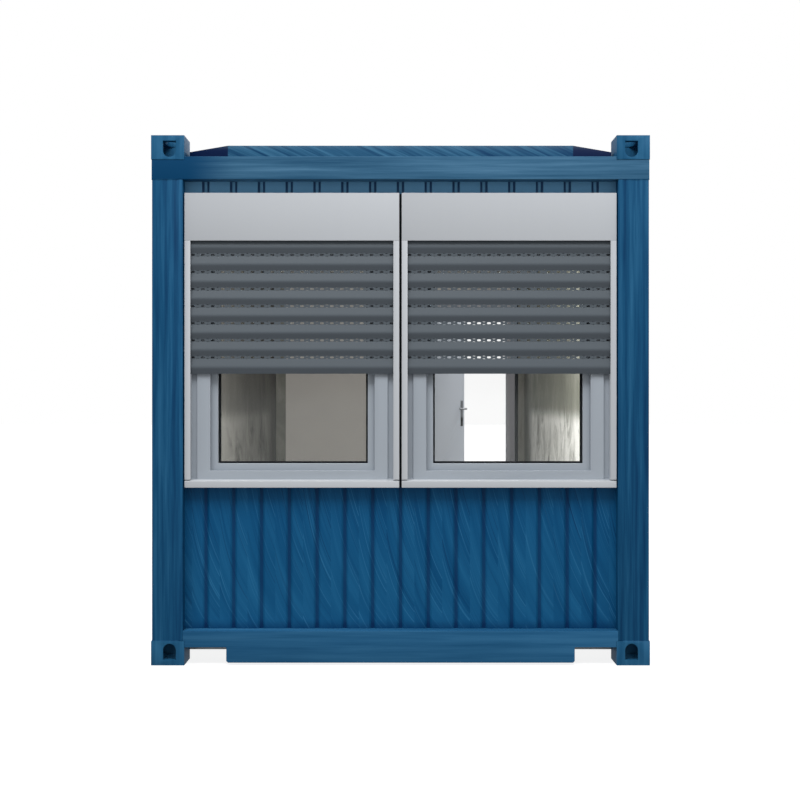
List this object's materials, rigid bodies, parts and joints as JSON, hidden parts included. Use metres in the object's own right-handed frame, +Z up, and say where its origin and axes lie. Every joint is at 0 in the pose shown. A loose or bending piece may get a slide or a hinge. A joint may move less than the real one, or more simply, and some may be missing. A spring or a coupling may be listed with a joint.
{
  "type": "modular office cabin",
  "caption": "Steel-framed office cabin with corner castings, blue profiled walls, shuttered gable windows and a hinged rear door.",
  "frame": {"origin": "centre of the four bottom casting apertures, on the castings' undersides", "axes": "+X towards the gable with the windows, +Y to the right of someone facing that gable, +Z up"},
  "size_m": [6.7134, 2.438, 2.591],
  "materials": {
    "frame_blue": "satin",
    "casting_blue": "satin",
    "cladding_blue": "satin",
    "roof_blue": "satin",
    "window_grey": "satin",
    "window_plastic": "smooth",
    "slat_grey": "painted satin",
    "clear_glass": "clear",
    "black_seal": "matt",
    "interior_board": "coated, matt",
    "galvanised": "galvanised",
    "floor_wood": "board",
    "vinyl": "sheet flooring",
    "mineral_wool": "fibrous",
    "door_grey": "satin",
    "steel_fittings": "zinc plated",
    "lever_metal": "brushed"
  },
  "bodies": {
    "building": {"bottom_corner_castings": "casting_blue", "top_corner_castings": "casting_blue", "corner_posts": "frame_blue", "front_header": "frame_blue", "rear_header": "frame_blue", "left_top_rail": "frame_blue", "right_top_rail": "frame_blue", "front_sill": "frame_blue", "rear_sill": "frame_blue", "left_bottom_rail": "frame_blue", "right_bottom_rail": "frame_blue", "floor_cassette": "galvanised", "floor_board": "floor_wood", "floor_covering": "vinyl", "roof_sheet": "roof_blue", "roof_insulation": "mineral_wool", "ceiling_panel": "interior_board", "left_wall_cladding": "cladding_blue", "right_wall_cladding": "cladding_blue", "front_wall_cladding": "cladding_blue", "rear_wall_cladding": "cladding_blue", "left_wall_panel": "interior_board", "right_wall_panel": "interior_board", "front_wall_panel": "interior_board", "rear_wall_panel": "interior_board", "rear_wall_head": "interior_board", "corner_linings": "interior_board", "left_shutter_box": "window_grey", "left_shutter_guides": "window_grey", "left_shutter_curtain": "slat_grey", "left_window_frame": "window_plastic", "left_window_sash": "window_plastic", "left_window_glass": "clear_glass", "right_shutter_box": "window_grey", "right_shutter_guides": "window_grey", "right_shutter_curtain": "slat_grey", "right_window_frame": "window_plastic", "right_window_sash": "window_plastic", "right_window_glass": "clear_glass", "window_sills": "window_grey", "window_joint_strips": "black_seal", "door_frame": "door_grey", "door_hinge_pins": "steel_fittings"},
    "door": {"door_leaf": "door_grey", "door_hinge_knuckles": "steel_fittings", "door_lock_plates": "lever_metal"},
    "door_handle": {"door_lever": "lever_metal"}
  },
  "joints": [
    {"name": "door_swing", "type": "hinge", "parent": "building", "child": "door", "pos_m": [-2.974, 0.16, 1.172], "axis": [0, 0, 1], "range_deg": [-59, 51]},
    {"name": "lever_turn", "type": "hinge", "parent": "door", "child": "door_handle", "pos_m": [-3.62697, 0.58967, 1.21], "axis": [0.515, 0.8572, 0], "range_deg": [0, 40], "stiffness_Nm_per_rad": 1.2, "springref_deg": -45.84}
  ]
}
